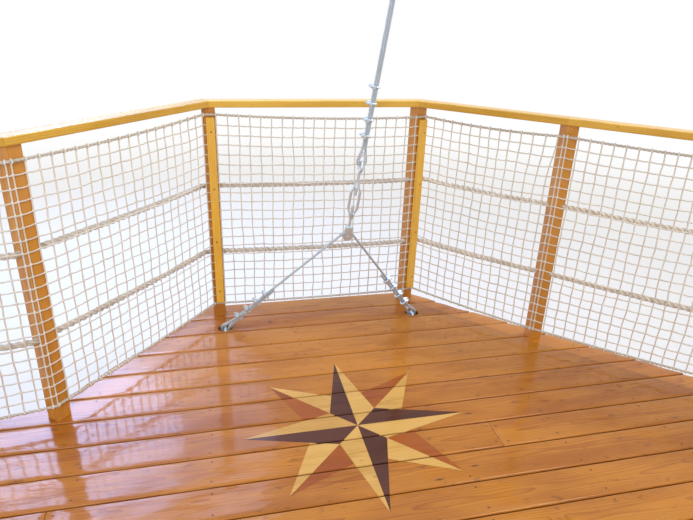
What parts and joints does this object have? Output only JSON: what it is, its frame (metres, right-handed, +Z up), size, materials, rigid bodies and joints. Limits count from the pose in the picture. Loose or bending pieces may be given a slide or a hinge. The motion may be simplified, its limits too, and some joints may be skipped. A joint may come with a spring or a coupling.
{
  "type": "tree house terrace",
  "caption": "Railed plank terrace of a tree house, with a compass star inlay, rope net guards, a mitred handrail and a wire rope stay on a bridle",
  "frame": {"origin": "on the back face of the ledger, at its mid height, in line with the centre of the star", "axes": "-Y points into the house wall, +X runs along the wall to the right as seen from the door, +Z is up"},
  "size_m": [4.0407, 2.045, 3.4609],
  "materials": {
    "deck_wood": "amber lacquered softwood boards with eased edges, glossy",
    "dark_inlay": "dark brown wood under the same lacquer, glossy",
    "brown_inlay": "orange-brown wood under the same lacquer, glossy",
    "pale_inlay": "pale straw wood under the same lacquer, glossy",
    "frame_wood": "sawn larch, matt",
    "rail_wood": "planed and lacquered larch, glossy",
    "batten_wood": "planed and lacquered pine, glossy",
    "net_cord": "knotted cream nylon cord",
    "guard_rope": "laid grey-beige fibre rope",
    "galvanised_steel": "galvanised, dull"
  },
  "bodies": {
    "root": {"deck_floor": "deck_wood", "star_dark": "dark_inlay", "star_brown": "brown_inlay", "star_pale": "pale_inlay", "house_ledger": "frame_wood", "rim_beams": "frame_wood", "joists": "frame_wood", "front_bearer": "frame_wood", "post_wall_left": "rail_wood", "post_wing_left": "rail_wood", "post_left": "rail_wood", "post_front_left": "rail_wood", "post_front_right": "rail_wood", "post_right": "rail_wood", "post_wing_right": "rail_wood", "post_wall_right": "rail_wood", "handrail_left_return": "rail_wood", "handrail_left_wing": "rail_wood", "handrail_left": "rail_wood", "handrail_front": "rail_wood", "handrail_right": "rail_wood", "handrail_right_wing": "rail_wood", "handrail_right_return": "rail_wood", "net_left_return": "net_cord", "net_left_wing": "net_cord", "net_left": "net_cord", "net_front": "net_cord", "net_right": "net_cord", "net_right_wing": "net_cord", "net_right_return": "net_cord", "net_battens": "batten_wood", "upper_guard_rope": "guard_rope", "lower_guard_rope": "guard_rope", "foot_eye_bolts": "galvanised_steel", "bridle_rope": "galvanised_steel", "bridle_thimbles": "galvanised_steel", "bridle_clips": "galvanised_steel", "bridle_sheave": "galvanised_steel", "turnbuckle_fork": "galvanised_steel", "turnbuckle_body": "galvanised_steel", "turnbuckle_eye": "galvanised_steel", "stay_rope": "galvanised_steel", "stay_thimbles": "galvanised_steel", "stay_clips": "galvanised_steel", "anchor_eye_bolt": "galvanised_steel"}
  },
  "joints": []
}
